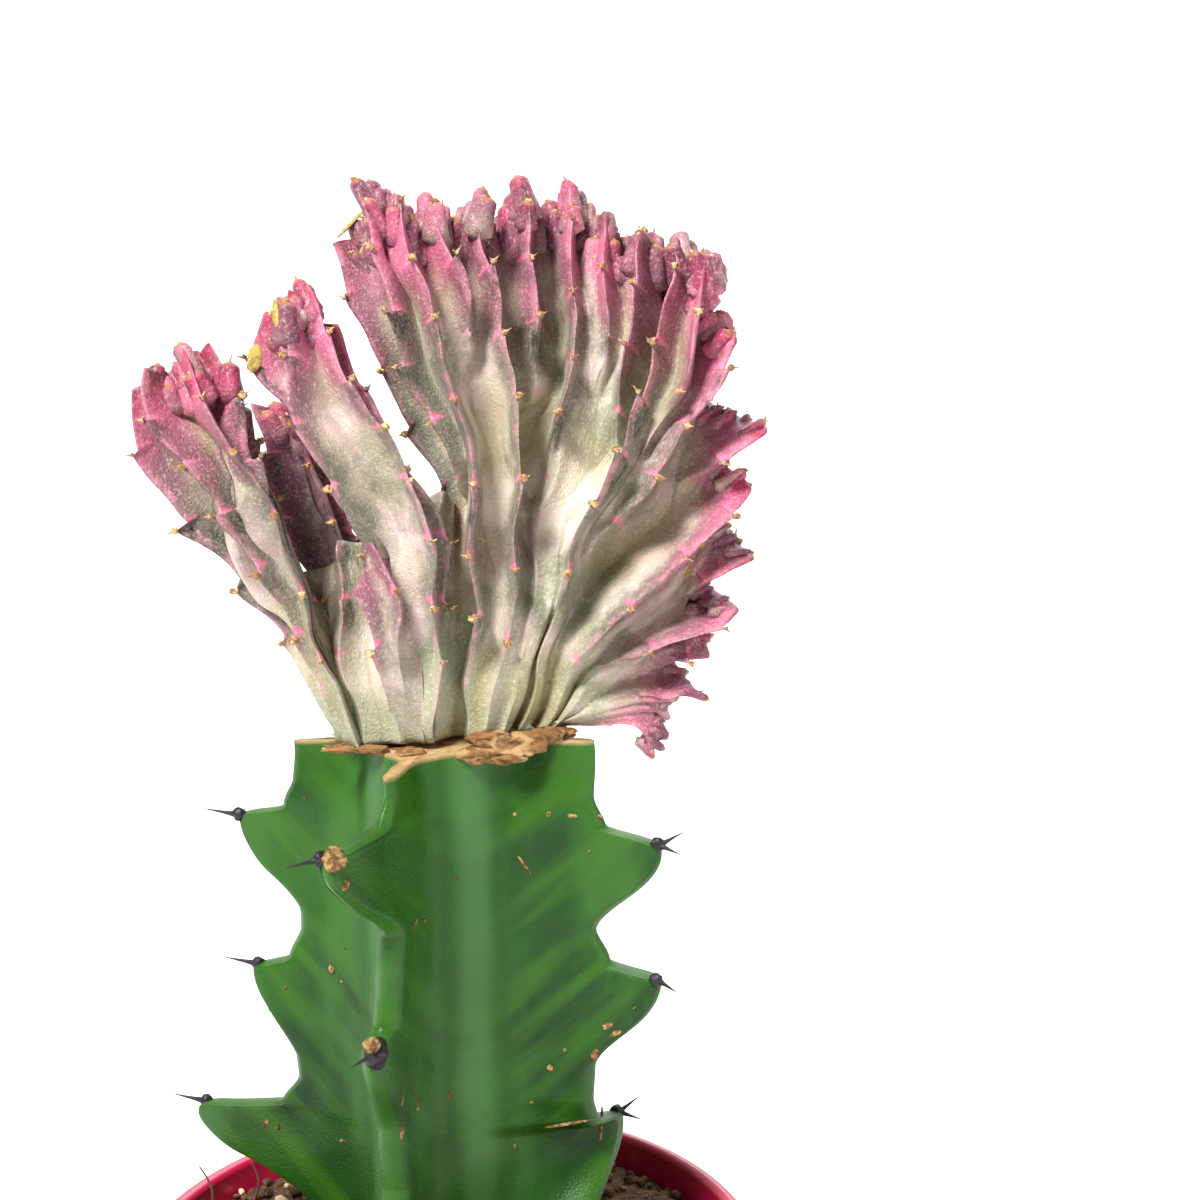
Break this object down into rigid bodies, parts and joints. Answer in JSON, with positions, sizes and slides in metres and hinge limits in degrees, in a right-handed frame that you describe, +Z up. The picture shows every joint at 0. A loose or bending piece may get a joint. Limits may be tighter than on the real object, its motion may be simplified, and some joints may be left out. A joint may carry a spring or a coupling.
{
  "type": "potted coral cactus",
  "caption": "Potted coral cactus: a crested coral-like fan grafted on a winged, toothed green rootstock, set in soil in a round tapered plastic pot.",
  "frame": {"origin": "centre of the pot's flat underside", "axes": "+Z straight up out of the pot, along the plant; -Y towards the face of the fan; +X to the right when looking at that face"},
  "size_m": [0.12, 0.12, 0.302],
  "materials": {
    "pot_plastic": "smooth moulded pink plastic",
    "soil": "crumbly peat and bark",
    "rootstock_skin": "waxy green plant skin, semi-gloss",
    "callus_cork": "dry corky scar tissue",
    "crest_skin": "satin plant skin, cream in the valleys and magenta at the growing edge",
    "spine": "hard dark thorn",
    "rootlet": "dry fibre"
  },
  "bodies": {
    "root": {"crest": "crest_skin", "dry_rootlet_1": "rootlet", "dry_rootlet_2": "rootlet", "dry_rootlet_3": "rootlet", "graft_callus": "callus_cork", "pot": "pot_plastic", "rootstock": "rootstock_skin", "soil": "soil", "spine_back_1": "spine", "spine_back_2": "spine", "spine_back_3": "spine", "spine_front_1": "spine", "spine_front_2": "spine", "spine_front_3": "spine", "spine_left_1": "spine", "spine_left_2": "spine", "spine_left_3": "spine", "spine_right_1": "spine", "spine_right_2": "spine", "spine_right_3": "spine"}
  },
  "joints": []
}
